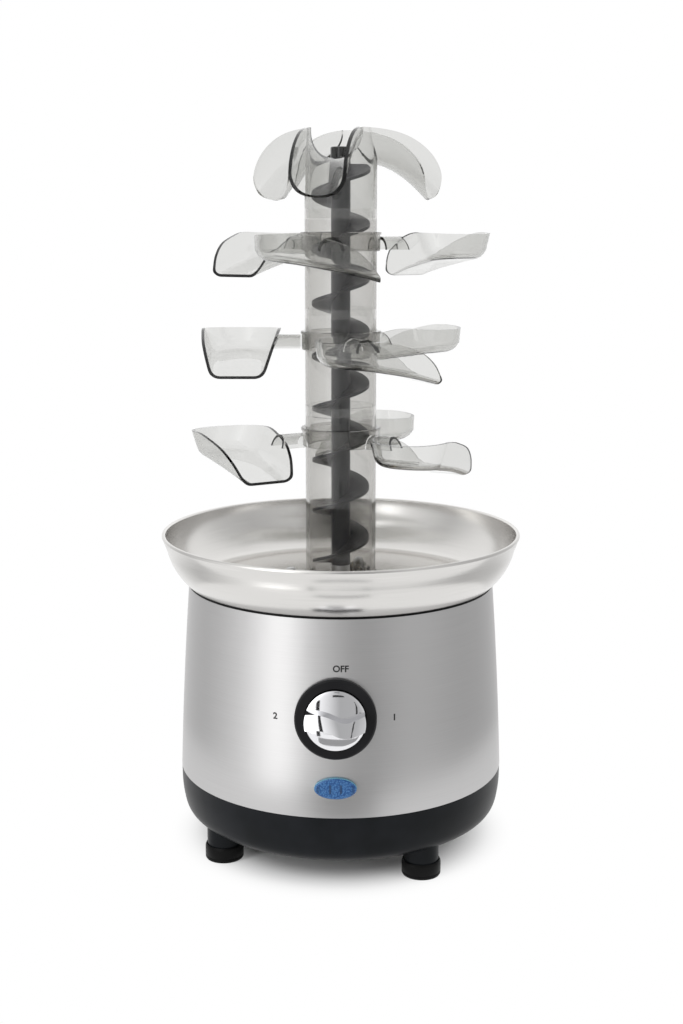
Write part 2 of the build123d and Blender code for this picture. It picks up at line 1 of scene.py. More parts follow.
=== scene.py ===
import math
import bmesh
import bpy
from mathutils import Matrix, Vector


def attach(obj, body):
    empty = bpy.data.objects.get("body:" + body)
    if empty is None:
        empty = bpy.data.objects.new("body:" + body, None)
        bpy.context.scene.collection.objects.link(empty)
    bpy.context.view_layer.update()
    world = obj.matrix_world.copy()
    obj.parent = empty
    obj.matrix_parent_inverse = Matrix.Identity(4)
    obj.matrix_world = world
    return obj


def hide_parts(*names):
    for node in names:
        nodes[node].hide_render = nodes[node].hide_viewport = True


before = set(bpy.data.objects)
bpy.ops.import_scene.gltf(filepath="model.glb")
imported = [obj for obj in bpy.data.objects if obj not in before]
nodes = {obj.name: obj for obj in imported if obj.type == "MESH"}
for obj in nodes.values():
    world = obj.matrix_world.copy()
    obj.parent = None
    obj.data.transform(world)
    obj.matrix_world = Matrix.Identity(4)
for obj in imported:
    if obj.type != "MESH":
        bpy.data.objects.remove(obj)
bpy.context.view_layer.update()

mm = 0.001

print("frame loaded:", len(nodes), "nodes")

# Node groups: one effect each, used by several finishes


def startGroup(name, inputs, outputs):
    group = bpy.data.node_groups.new(name, "ShaderNodeTree")
    for label, value in inputs:
        socket = group.interface.new_socket(label, in_out="INPUT", socket_type="NodeSocketFloat")
        socket.default_value = value
    for label, kind in outputs:
        group.interface.new_socket(label, in_out="OUTPUT", socket_type=kind)
    return group, group.nodes.new("NodeGroupInput"), group.nodes.new("NodeGroupOutput")


def maths(tree, operation, first, second=None):
    node = tree.nodes.new("ShaderNodeMath")
    node.operation = operation
    for slot, value in ((0, first), (1, second)):
        if value is None:
            continue
        if isinstance(value, (int, float)):
            node.inputs[slot].default_value = value
        else:
            tree.links.new(value, node.inputs[slot])
    return node.outputs[0]


def makeTurnedGrain():
    # Fine lines that run round the Z axis, as a lathe or a belt leaves them
    group, given, out = startGroup(
        "turnedGrain",
        [("Lines", 900.0), ("Streak", 2.5), ("Slope", 1.0)],
        [("Mask", "NodeSocketFloat")],
    )
    place = group.nodes.new("ShaderNodeTexCoord")
    split = group.nodes.new("ShaderNodeSeparateXYZ")
    group.links.new(place.outputs["Object"], split.inputs[0])
    squareX = maths(group, "MULTIPLY", split.outputs["X"], split.outputs["X"])
    squareY = maths(group, "MULTIPLY", split.outputs["Y"], split.outputs["Y"])
    radius = maths(group, "SQRT", maths(group, "ADD", squareX, squareY))
    safe = maths(group, "MAXIMUM", radius, 0.0005)  # keeps clear of the axis itself
    sloped = maths(group, "MULTIPLY", radius, given.outputs["Slope"])
    across = maths(group, "ADD", sloped, split.outputs["Z"])
    pack = group.nodes.new("ShaderNodeCombineXYZ")
    for axis in ("X", "Y"):
        unit = maths(group, "DIVIDE", split.outputs[axis], safe)
        group.links.new(maths(group, "MULTIPLY", unit, given.outputs["Streak"]), pack.inputs[axis])
    group.links.new(maths(group, "MULTIPLY", across, given.outputs["Lines"]), pack.inputs["Z"])
    noise = group.nodes.new("ShaderNodeTexNoise")
    noise.inputs["Scale"].default_value = 1.0
    noise.inputs["Detail"].default_value = 4.0
    noise.inputs["Roughness"].default_value = 0.62
    group.links.new(pack.outputs[0], noise.inputs["Vector"])
    group.links.new(noise.outputs["Fac"], out.inputs["Mask"])
    return group


def makeMouldedSkin():
    # Pebbled skin of moulded plastic and rubber, with wide soft unevenness under it
    group, given, out = startGroup(
        "mouldedSkin",
        [("Pebbles", 1400.0), ("Waves", 40.0)],
        [("Height", "NodeSocketFloat"), ("Mask", "NodeSocketFloat")],
    )
    place = group.nodes.new("ShaderNodeTexCoord")
    fine = group.nodes.new("ShaderNodeTexNoise")
    fine.inputs["Detail"].default_value = 3.0
    wide = group.nodes.new("ShaderNodeTexNoise")
    wide.inputs["Detail"].default_value = 2.0
    for noise, label in ((fine, "Pebbles"), (wide, "Waves")):
        group.links.new(place.outputs["Object"], noise.inputs["Vector"])
        group.links.new(given.outputs[label], noise.inputs["Scale"])
    group.links.new(fine.outputs["Fac"], out.inputs["Height"])
    group.links.new(wide.outputs["Fac"], out.inputs["Mask"])
    return group


def makeSpecks():
    # Sparse specks of dust, in patches
    dotSize, patchScale, patchStart = 0.09, 60.0, 0.56
    group, given, out = startGroup(
        "specks",
        [("Scale", 260.0), ("Amount", 0.25)],
        [("Mask", "NodeSocketFloat")],
    )
    place = group.nodes.new("ShaderNodeTexCoord")
    cells = group.nodes.new("ShaderNodeTexVoronoi")
    group.links.new(place.outputs["Object"], cells.inputs["Vector"])
    group.links.new(given.outputs["Scale"], cells.inputs["Scale"])
    near = maths(group, "LESS_THAN", cells.outputs["Distance"], dotSize)
    thin = group.nodes.new("ShaderNodeTexNoise")
    group.links.new(place.outputs["Object"], thin.inputs["Vector"])
    thin.inputs["Scale"].default_value = patchScale
    keep = maths(group, "GREATER_THAN", thin.outputs["Fac"], patchStart)
    dots = maths(group, "MULTIPLY", near, keep)
    group.links.new(maths(group, "MULTIPLY", dots, given.outputs["Amount"]), out.inputs["Mask"])
    return group


turnedGrain = makeTurnedGrain()
mouldedSkin = makeMouldedSkin()
specks = makeSpecks()


def startMaterial(name, settings):
    material = bpy.data.materials.new(name)
    material.use_nodes = True
    shader = material.node_tree.nodes["Principled BSDF"]
    for label, value in settings.items():
        shader.inputs[label].default_value = value
    return material, material.node_tree, shader


def addGroup(tree, group, **values):
    node = tree.nodes.new("ShaderNodeGroup")
    node.node_tree = group
    for label, value in values.items():
        node.inputs[label].default_value = value
    return node


def between(tree, mask, low, high):
    node = tree.nodes.new("ShaderNodeMapRange")
    node.inputs["To Min"].default_value = low
    node.inputs["To Max"].default_value = high
    tree.links.new(mask, node.inputs["Value"])
    return node.outputs["Result"]


def tint(tree, mask, dark, light, start=0.0, end=1.0):
    node = tree.nodes.new("ShaderNodeValToRGB")
    node.color_ramp.elements[0].position = start
    node.color_ramp.elements[0].color = (*dark, 1)
    node.color_ramp.elements[1].position = end
    node.color_ramp.elements[1].color = (*light, 1)
    tree.links.new(mask, node.inputs["Fac"])
    return node.outputs["Color"]


def bump(tree, shader, height, strength, distance):
    node = tree.nodes.new("ShaderNodeBump")
    node.inputs["Strength"].default_value = strength
    node.inputs["Distance"].default_value = distance
    tree.links.new(height, node.inputs["Height"])
    tree.links.new(node.outputs["Normal"], shader.inputs["Normal"])


def makeSteel(name, dark, light, rough, lines, slope=1.0, aniso=0.0):
    material, tree, shader = startMaterial(name, {"Metallic": 1.0, "Anisotropic": aniso})
    grain = addGroup(tree, turnedGrain, Lines=lines, Slope=slope, Streak=2.2)
    mask = grain.outputs["Mask"]
    tree.links.new(tint(tree, mask, dark, light, 0.3, 0.7), shader.inputs["Base Color"])
    tree.links.new(between(tree, mask, *rough), shader.inputs["Roughness"])
    bump(tree, shader, mask, 0.06, 0.00005)
    turn = tree.nodes.new("ShaderNodeTangent")
    turn.direction_type = "RADIAL"
    turn.axis = "Z"
    tree.links.new(turn.outputs["Tangent"], shader.inputs["Tangent"])
    return material


def makeMoulded(name, dark, light, rough, pebbles, depth, coat=0.0, gloss=0.5):
    settings = {"Coat Weight": coat, "Coat Roughness": 0.15, "Specular IOR Level": gloss}
    material, tree, shader = startMaterial(name, settings)
    skin = addGroup(tree, mouldedSkin, Pebbles=pebbles, Waves=45.0)
    mask = skin.outputs["Mask"]
    tree.links.new(tint(tree, mask, dark, light, 0.35, 0.65), shader.inputs["Base Color"])
    tree.links.new(between(tree, mask, rough - 0.05, rough + 0.07), shader.inputs["Roughness"])
    bump(tree, shader, skin.outputs["Height"], 0.25, depth)
    return material


def makeClear(name, colour, tintColour, density, wave):
    # Solid glass-like plastic: light takes up the smoke tint along its way through the wall
    material, tree, shader = startMaterial(
        name,
        {"Transmission Weight": 1.0, "IOR": 1.49, "Base Color": (*colour, 1), "Roughness": 0.015},
    )
    out = tree.nodes["Material Output"]
    skin = addGroup(tree, mouldedSkin, Pebbles=90.0, Waves=30.0)
    bump(tree, shader, skin.outputs["Height"], wave, 0.0004)
    see = tree.nodes.new("ShaderNodeBsdfTransparent")
    see.inputs["Color"].default_value = (0.86, 0.86, 0.85, 1)
    path = tree.nodes.new("ShaderNodeLightPath")
    mix = tree.nodes.new("ShaderNodeMixShader")
    tree.links.new(path.outputs["Is Shadow Ray"], mix.inputs["Fac"])
    tree.links.new(shader.outputs[0], mix.inputs[1])
    tree.links.new(see.outputs[0], mix.inputs[2])
    tree.links.new(mix.outputs[0], out.inputs["Surface"])
    smoke = tree.nodes.new("ShaderNodeVolumeAbsorption")
    smoke.inputs["Color"].default_value = (*tintColour, 1)
    smoke.inputs["Density"].default_value = density
    tree.links.new(smoke.outputs[0], out.inputs["Volume"])
    return material


def setFinish(piece, material):
    piece.data.materials.clear()
    piece.data.materials.append(material)


# Finishes: turned and brushed metals, moulded plastics and rubber, smoke-tinted clear plastic
shellSteel = makeSteel(
    "shellSteel", dark=(0.555, 0.55, 0.55), light=(0.60, 0.595, 0.595), rough=(0.27, 0.33),
    lines=4200.0, slope=0.0, aniso=0.85)
bowlSteel = makeSteel(
    "bowlSteel", dark=(0.70, 0.688, 0.67), light=(0.76, 0.748, 0.73), rough=(0.17, 0.24),
    lines=3000.0, aniso=0.2)
plainSteel = makeSteel(
    "plainSteel", dark=(0.42, 0.42, 0.42), light=(0.60, 0.60, 0.60), rough=(0.28, 0.42), lines=2200.0)
paleAlloy = makeSteel(
    "paleAlloy", dark=(0.62, 0.62, 0.63), light=(0.74, 0.74, 0.75), rough=(0.35, 0.5), lines=1400.0)
hubBrass = makeSteel(
    "hubBrass", dark=(0.55, 0.40, 0.16), light=(0.72, 0.54, 0.24), rough=(0.25, 0.4), lines=1800.0)
panBlack = makeMoulded(
    "panBlack", dark=(0.004, 0.005, 0.006), light=(0.007, 0.008, 0.010), rough=0.34,
    pebbles=2600.0, depth=0.00003, gloss=0.12)
bezelBlack = makeMoulded(
    "bezelBlack", dark=(0.005, 0.005, 0.006), light=(0.008, 0.008, 0.009), rough=0.33,
    pebbles=1800.0, depth=0.00002, gloss=0.2)
footRubber = makeMoulded(
    "footRubber", dark=(0.003, 0.003, 0.003), light=(0.005, 0.005, 0.005), rough=0.4,
    pebbles=1500.0, depth=0.00004, gloss=0.1)
augerGrey = makeMoulded(
    "augerGrey", dark=(0.03, 0.03, 0.034), light=(0.045, 0.045, 0.05), rough=0.36,
    pebbles=1200.0, depth=0.00003, gloss=0.4)
capBlack = makeMoulded(
    "capBlack", dark=(0.006, 0.006, 0.006), light=(0.012, 0.012, 0.012), rough=0.16,
    pebbles=900.0, depth=0.00001, coat=0.4)
paleMoulded = makeMoulded(
    "paleMoulded", dark=(0.62, 0.62, 0.59), light=(0.72, 0.72, 0.69), rough=0.45,
    pebbles=1200.0, depth=0.00003)
housingGrey = makeMoulded(
    "housingGrey", dark=(0.13, 0.135, 0.14), light=(0.18, 0.185, 0.19), rough=0.42,
    pebbles=1500.0, depth=0.00003)
smokeTube = makeClear(
    "smokeTube", colour=(0.97, 0.97, 0.965), tintColour=(0.60, 0.59, 0.57), density=290.0, wave=0.05)
smokeScoop = makeClear(
    "smokeScoop", colour=(0.975, 0.975, 0.97), tintColour=(0.60, 0.60, 0.58), density=290.0, wave=0.08)


def makeChrome():
    material, tree, shader = startMaterial("knobChrome", {"Metallic": 1.0})
    dust = addGroup(tree, specks, Scale=700.0, Amount=0.5)
    colour = tint(tree, dust.outputs["Mask"], (0.86, 0.86, 0.88), (0.5, 0.5, 0.52))
    tree.links.new(colour, shader.inputs["Base Color"])
    skin = addGroup(tree, mouldedSkin, Pebbles=60.0, Waves=60.0)
    tree.links.new(between(tree, skin.outputs["Mask"], 0.03, 0.09), shader.inputs["Roughness"])
    bump(tree, shader, skin.outputs["Height"], 0.03, 0.0003)
    return material


# Lamp lens: place and half sizes in metres; the rest are shares of the oval, 1 at its edge; the pale rim
# round the edge is a painted highlight
lens = {"x": -0.00304, "z": 0.0672, "halfLength": 0.0126, "halfWidth": 0.0065, "prisms": 1100.0,
        "barPlace": 0.25, "barHalf": 0.05, "barHeight": 0.42, "endStart": 0.74, "endStop": 0.9,
        "endShare": 0.6, "darkShare": 0.75, "paintedRimStart": 0.985, "paintedRimShare": 0.6}


def mixColours(tree, share, base, colour):
    node = tree.nodes.new("ShaderNodeMix")
    node.data_type = "RGBA"
    tree.links.new(share, node.inputs["Factor"])
    tree.links.new(base, node.inputs["A"])
    node.inputs["B"].default_value = (*colour, 1)
    return node.outputs["Result"]


def makeLens():
    material, tree, shader = startMaterial("lampBlue", {"Roughness": 0.14, "IOR": 1.49})
    place = tree.nodes.new("ShaderNodeTexCoord")
    cells = tree.nodes.new("ShaderNodeTexVoronoi")
    cells.inputs["Scale"].default_value = lens["prisms"]
    tree.links.new(place.outputs["Object"], cells.inputs["Vector"])
    prisms = tint(tree, cells.outputs["Distance"], (0.055, 0.17, 0.36), (0.010, 0.055, 0.18), 0.1, 0.7)
    # Oval distance from the lens's middle
    split = tree.nodes.new("ShaderNodeSeparateXYZ")
    tree.links.new(place.outputs["Object"], split.inputs[0])
    across = maths(tree, "DIVIDE", maths(tree, "SUBTRACT", split.outputs["X"], lens["x"]), lens["halfLength"])
    up = maths(tree, "DIVIDE", maths(tree, "SUBTRACT", split.outputs["Z"], lens["z"]), lens["halfWidth"])
    squares = maths(tree, "ADD", maths(tree, "MULTIPLY", across, across), maths(tree, "MULTIPLY", up, up))
    oval = maths(tree, "SQRT", squares)
    # Two short bars, and darker ends
    side = maths(tree, "ABSOLUTE", across)
    bars = maths(tree, "COMPARE", side, lens["barPlace"])
    bars.node.inputs[2].default_value = lens["barHalf"]
    short = maths(tree, "LESS_THAN", maths(tree, "ABSOLUTE", up), lens["barHeight"])
    outer = maths(tree, "GREATER_THAN", side, lens["endStart"])
    ends = maths(tree, "MULTIPLY", outer, maths(tree, "LESS_THAN", oval, lens["endStop"]))
    ends = maths(tree, "MULTIPLY", ends, lens["endShare"])
    dark = maths(tree, "MAXIMUM", maths(tree, "MULTIPLY", bars, short), ends)
    shade = mixColours(tree, maths(tree, "MULTIPLY", dark, lens["darkShare"]), prisms, (0.008, 0.022, 0.06))
    # Pale band round the lens's edge: a painted highlight where the edge catches the light
    rim = maths(tree, "MULTIPLY", maths(tree, "GREATER_THAN", oval, lens["paintedRimStart"]), lens["paintedRimShare"])
    colour = mixColours(tree, rim, shade, (0.16, 0.42, 0.50))
    tree.links.new(colour, shader.inputs["Base Color"])
    bump(tree, shader, cells.outputs["Distance"], 0.6, 0.0003)
    return material


knobChrome = makeChrome()
lampBlue = makeLens()

finishes = {
    "base_pan": panBlack, "cord_gland": panBlack, "steel_shell": shellSteel, "bowl": bowlSteel,
    "bowl_seal": footRubber, "locating_studs": plainSteel, "stud_nuts": plainSteel,
    "plate_spacers": paleAlloy, "heat_spreader": paleAlloy, "heating_element": plainSteel,
    "thermostat": paleMoulded, "bearing_hub": hubBrass, "hub_nut": plainSteel, "lip_seal": footRubber,
    "motor_plate": plainSteel, "gearbox_screws": plainSteel, "gearbox": housingGrey,
    "motor": housingGrey, "tie_bolts": plainSteel, "drive_shaft": plainSteel,
    "drive_coupling": paleAlloy, "auger": augerGrey, "auger_cap": capBlack, "crown": smokeScoop,
    "knob_bezel": bezelBlack, "rotary_switch": bezelBlack, "switch_spindle": plainSteel,
    "knob": knobChrome, "lamp_lens": lampBlue, "lamp_holder": paleMoulded, "lamp_bulbs": augerGrey,
}
for tier in ("upper", "middle", "lower"):
    finishes[tier + "_tube"] = smokeTube
    finishes[tier + "_collar"] = smokeTube
    for number in (1, 2, 3):
        finishes[f"{tier}_scoop_{number}"] = smokeScoop
for number in (1, 2, 3, 4):
    finishes[f"foot_stud_{number}"] = panBlack
    finishes[f"foot_pad_{number}"] = footRubber
for name, piece in nodes.items():
    setFinish(piece, finishes[name])
print("finishes set")

# Doubles closer than these are merged (metres); edges flatter than these are smoothed (degrees)
weld = {"turned": 0.000002, "block": 0.000001, "sheet": 0.00002, "scoop": 0.00001}
smooth = {"turned": 38, "scoop": 40, "knob": 30}

# Turned pieces: a ring is drawn out edge by edge along its profile, as on a spinning lathe


def turnedShape(name, profile, segments, centre=(0.0, 0.0), filled=False):
    bpy.ops.object.select_all(action="DESELECT")
    radius, height = profile[0]
    place = (centre[0] * mm, centre[1] * mm, height * mm)
    fill = "NGON" if filled else "NOTHING"
    bpy.ops.mesh.primitive_circle_add(
        vertices=segments, radius=radius * mm, location=place, fill_type=fill)
    piece = bpy.context.object
    piece.name = name
    bpy.ops.object.transform_apply(location=True, rotation=True, scale=True)
    bpy.ops.object.mode_set(mode="EDIT")
    bpy.ops.mesh.select_all(action="SELECT")
    for nextRadius, nextHeight in profile[1:]:
        rise = (0, 0, (nextHeight - height) * mm)
        bpy.ops.mesh.extrude_region_move(TRANSFORM_OT_translate={"value": rise})
        grow = nextRadius / radius
        axis = (centre[0] * mm, centre[1] * mm, 0)
        bpy.ops.transform.resize(value=(grow, grow, 1), center_override=axis)
        radius, height = nextRadius, nextHeight
    bpy.ops.mesh.select_all(action="SELECT")
    bpy.ops.mesh.remove_doubles(threshold=weld["turned"])
    bpy.ops.mesh.normals_make_consistent(inside=False)
    bpy.ops.object.mode_set(mode="OBJECT")
    bpy.ops.object.shade_smooth_by_angle(angle=math.radians(smooth["turned"]))
    return piece


def selectOnly(piece):
    bpy.ops.object.select_all(action="DESELECT")
    piece.select_set(True)
    bpy.context.view_layer.objects.active = piece


def pickVerts(piece, test):
    # In edit mode: select vertices by their place in millimetres
    bpy.ops.mesh.select_mode(type="VERT")
    bpy.ops.mesh.select_all(action="DESELECT")
    mesh = bmesh.from_edit_mesh(piece.data)
    for vert in mesh.verts:
        vert.select = test(vert.co.x / mm, vert.co.y / mm, vert.co.z / mm)
    mesh.select_flush_mode()
    bmesh.update_edit_mesh(piece.data)


def joinTool(piece, tool, operation):
    # One solid takes another in, or is cut or trimmed by it, and the other goes
    work = piece.modifiers.new(operation.lower(), "BOOLEAN")
    work.object = tool
    work.operation = operation
    work.solver = "EXACT"
    selectOnly(piece)
    bpy.ops.object.modifier_apply(modifier=work.name)
    bpy.data.objects.remove(tool, do_unlink=True)


def smoothLine(points, steps):
    # Points of a smooth line through the given ones
    line = []
    for k in range(len(points) - 1):
        a, b, c, d = (points[min(max(k + n, 0), len(points) - 1)] for n in (-1, 0, 1, 2))
        for n in range(steps):
            t = n / steps
            line.append(tuple(
                0.5 * (2 * b[i] + (c[i] - a[i]) * t
                       + (2 * a[i] - 5 * b[i] + 4 * c[i] - d[i]) * t ** 2
                       + (3 * b[i] - a[i] - 3 * c[i] + d[i]) * t ** 3) for i in (0, 1)))
    return line + [points[-1]]


def sideBlock(name, outline, half):
    # A ribbon drawn out along a closed outline in X and Z, then closed on both sides
    startX, startZ = outline[0]
    bpy.ops.object.select_all(action="DESELECT")
    bpy.ops.mesh.primitive_plane_add(size=1, location=(0, 0, 0))
    piece = bpy.context.object
    piece.name = name
    bpy.ops.object.mode_set(mode="EDIT")
    pickVerts(piece, lambda x, y, z: x > 0)
    bpy.ops.mesh.delete(type="VERT")
    bpy.ops.mesh.select_all(action="SELECT")
    bpy.ops.transform.resize(value=(1, half * 2 * mm, 1), center_override=(0, 0, 0))
    bpy.ops.transform.translate(value=(0.5 + startX * mm, 0, startZ * mm))
    previous = outline[0]
    for point in outline[1:] + outline[:1]:
        shift = ((point[0] - previous[0]) * mm, 0, (point[1] - previous[1]) * mm)
        bpy.ops.mesh.extrude_region_move(TRANSFORM_OT_translate={"value": shift})
        previous = point
    bpy.ops.mesh.select_all(action="SELECT")
    bpy.ops.mesh.remove_doubles(threshold=weld["block"])
    for side in (-1, 1):
        pickVerts(piece, lambda x, y, z: y * side > 0)
        bpy.ops.mesh.edge_face_add()
    bpy.ops.mesh.select_all(action="SELECT")
    bpy.ops.mesh.normals_make_consistent(inside=False)
    bpy.ops.object.mode_set(mode="OBJECT")
    return piece


def arcPoints(middle, radius, start, end, steps):
    # Start and end in degrees from straight down, turning outwards
    turns = [math.radians(start + (end - start) * k / steps) for k in range(steps + 1)]
    return [(middle[0] + radius * math.sin(t), middle[1] - radius * math.cos(t)) for t in turns]


# Bowl: spun sheet with a rounded shoulder, a flared wall and a thin rolled bead
# An arc is (radius from the axis, height, own radius) in mm; studs are (circle, first angle, hole)
bowlSizes = {"hole": 11.0, "floor": 167.0, "sheet": 1.0, "floorRings": (30, 60), "segments": 160,
             "shoulder": (88.0, 181.07, 14.57), "shoulderTurn": 41.7,
             "wall": (71.5, 199.6, 39.4), "wallStart": 4, "wallTurn": 77.0,
             "bead": (112.4, 199.2, 1.25), "beadTurns": (-75, -320),
             "studs": (32.0, 65.0, 2.6), "drillDepth": 6}


def addBowl():
    half = bowlSizes["sheet"] / 2
    sx, sz, sr = bowlSizes["shoulder"]
    wx, wz, wr = bowlSizes["wall"]
    bx, bz, br = bowlSizes["bead"]
    hole, floor = bowlSizes["hole"], bowlSizes["floor"]
    turn, top = bowlSizes["shoulderTurn"], bowlSizes["wallTurn"]
    first = turn + bowlSizes["wallStart"]
    under = floor - bowlSizes["sheet"]
    # Up the inside, round the bead, and down the outside
    profile = [(hole, floor)] + [(ring, floor) for ring in bowlSizes["floorRings"]]
    profile += arcPoints((sx, sz), sr - half, 0, turn, 8)
    profile += arcPoints((wx, wz), wr - half, first, top, 10)
    profile += arcPoints((bx, bz), br, *bowlSizes["beadTurns"], 14)
    profile += arcPoints((wx, wz), wr + half, top, first, 10)
    profile += arcPoints((sx, sz), sr + half, turn, 0, 8)
    profile += [(ring, under) for ring in reversed(bowlSizes["floorRings"])]
    profile += [(hole, under), (hole, floor)]
    bowl = turnedShape("dressed_bowl", profile, bowlSizes["segments"])
    circle, start, radius = bowlSizes["studs"]
    for k in range(3):
        turn = math.radians(start + 120 * k)
        bpy.ops.object.select_all(action="DESELECT")
        bpy.ops.mesh.primitive_cylinder_add(
            vertices=24, radius=radius * mm, depth=bowlSizes["drillDepth"] * mm,
            location=(circle * math.cos(turn) * mm, circle * math.sin(turn) * mm, floor * mm))
        joinTool(bowl, bpy.context.object, "DIFFERENCE")
    setFinish(bowl, bowlSteel)
    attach(bowl, "base")
    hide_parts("bowl")


# Rubber cups of the feet: rounded rims and a turned groove
cupSizes = {"circle": 88.4, "first": 34.0, "segments": 72,
            "profile": [(10.6, 0.0), (11.5, 0.3), (11.95, 1.1), (12.0, 2.2), (11.8, 2.5), (12.0, 2.8),
                        (12.0, 7.9), (11.85, 8.9), (11.55, 9.6), (11.3, 9.95), (11.1, 9.8), (11.0, 9.4),
                        (11.0, 6.0), (8.05, 6.0), (8.0, 3.0)]}


def addCup(number):
    turn = math.radians(cupSizes["first"] + 90 * (number - 1))
    centre = (cupSizes["circle"] * math.cos(turn), cupSizes["circle"] * math.sin(turn))
    cup = turnedShape(
        f"dressed_cup_{number}", cupSizes["profile"], cupSizes["segments"], centre, filled=True)
    setFinish(cup, footRubber)
    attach(cup, f"foot_{number}")
    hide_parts(f"foot_pad_{number}")


addBowl()
for number in (1, 2, 3, 4):
    addCup(number)
print("bowl and cups turned")

# Scoops: a drafted tub with a round end, a sloping floor, a sweeping rim and an arched arm below it
# Places run along the scoop, positive to its closed end; heights are from the top of its rim
scoop = {"circle": 63.3, "half": 24.8, "back": 49.4, "wall": 1.8, "draft": 18.0, "end": 22.5,
         "corner": 8.0, "lean": 0.03, "rimDrop": 1.5,
         "front": -31.0, "straightLines": 26, "roundLines": 24, "wallSteps": 7, "cornerSteps": 7,
         "above": 5.0, "below": -60.0, "usualFloor": -18.0,
         "armRadius": 8.0, "armWall": 1.9, "armDrop": 9.3, "armOffset": 5.6, "armBite": 0.9,
         "floor": ((52.0, -13.8), (31.0, -15.6), (13.5, -18.4), (-5.0, -22.0), (-22.4, -26.4),
                   (-36.0, -30.4)),
         "rim": ((54.4, 0.0), (36.0, 0.9), (22.3, 1.1), (9.5, -1.5), (-4.4, -6.0), (-14.5, -13.0),
                 (-20.3, -20.2), (-22.6, -24.0), (-21.6, -28.6))}
tower = {"seam": 401.2, "pitch": 60.2, "radius": 22.25, "play": 0.05, "collarDrop": 14.0,
         "collarHeight": 11.4, "collar": 24.4, "flange": 25.0, "flangeThick": 1.6, "edge": 0.3,
         "step": 0.1, "firstAngles": (30.0, 60.0, 90.0)}


def sideHalf(z):
    return scoop["half"] + z * math.tan(math.radians(scoop["draft"]))


def tubRow(floor, turn, top):
    # One cross line of the tub's outside, rim to rim, at a share of the turn round its closed end
    draft, corner = math.radians(scoop["draft"]), scoop["corner"]
    tangent = floor + corner * (1 - math.sin(draft))
    side = sideHalf(tangent) - corner * math.cos(draft)
    middle = scoop["end"] - corner + tangent * scoop["lean"]
    walls, corners = scoop["wallSteps"], scoop["cornerSteps"]
    points = []
    for n in range(walls + 1):
        z = top + (tangent - top) * n / walls
        points.append((sideHalf(z), scoop["end"] + z * scoop["lean"], z))
    for n in range(1, corners + 1):
        bend = draft + (math.pi / 2 - draft) * n / corners
        out = corner * math.cos(bend)
        points.append((side + out, middle + out, floor + corner * (1 - math.sin(bend))))
    points += [(side * share, middle * share, floor) for share in (0.75, 0.5, 0.25)]
    left = [(ahead * math.sin(turn), across * math.cos(turn), z) for across, ahead, z in points]
    right = [(ahead, -across, z) for ahead, across, z in left[::-1]]
    return left + [(0.0 if turn else left[-1][0], 0.0, floor)] + right


def trough(name, top):
    # A sheet of cross lines, from beyond the lip to the closed end, given the wall's thickness
    centre, front = scoop["back"] - scoop["end"], scoop["front"]
    usual, straight, rounds = scoop["usualFloor"], scoop["straightLines"], scoop["roundLines"]
    floor = smoothLine(list(scoop["floor"]), 8)

    def floorAt(x):
        for (highX, highZ), (lowX, lowZ) in zip(floor, floor[1:]):
            if lowX <= x <= highX:
                return lowZ + (highZ - lowZ) * (x - lowX) / (highX - lowX)
        return floor[-1][1]

    stations = [(front + (centre - front) * n / straight, 0.0) for n in range(straight)]
    stations += [(centre, math.pi / 2 * n / rounds) for n in range(rounds + 1)]
    count = len(tubRow(usual, 0.0, top))
    bpy.ops.object.select_all(action="DESELECT")
    bpy.ops.mesh.primitive_grid_add(x_subdivisions=count - 1, y_subdivisions=len(stations) - 1, size=0.1)
    sheet = bpy.context.object
    sheet.name = name
    for k, (x, turn) in enumerate(stations):
        row = tubRow(usual, turn, top)
        for n in range(count):
            # The floor below a point depends on how far round it lies, so it is found in three steps
            here = row[n]
            for guess in range(3):
                here = tubRow(floorAt(x + here[0]), turn, top)[n]
            sheet.data.vertices[k * count + n].co = ((x + here[0]) * mm, here[1] * mm, here[2] * mm)
    selectOnly(sheet)
    bpy.ops.object.mode_set(mode="EDIT")
    bpy.ops.mesh.select_all(action="SELECT")
    bpy.ops.mesh.remove_doubles(threshold=weld["sheet"])
    bpy.ops.mesh.normals_make_consistent(inside=False)
    bpy.ops.object.mode_set(mode="OBJECT")
    # The sheet is open at the top, so the way its faces point is read from the floor
    low = min(sheet.data.polygons, key=lambda face: face.center.z)
    if low.normal.z > 0:
        bpy.ops.object.mode_set(mode="EDIT")
        bpy.ops.mesh.select_all(action="SELECT")
        bpy.ops.mesh.flip_normals()
        bpy.ops.object.mode_set(mode="OBJECT")
    wall = sheet.modifiers.new("wall", "SOLIDIFY")
    wall.thickness = scoop["wall"] * mm
    wall.offset = -1.0
    wall.use_even_offset = True
    bpy.ops.object.modifier_apply(modifier=wall.name)
    return sheet


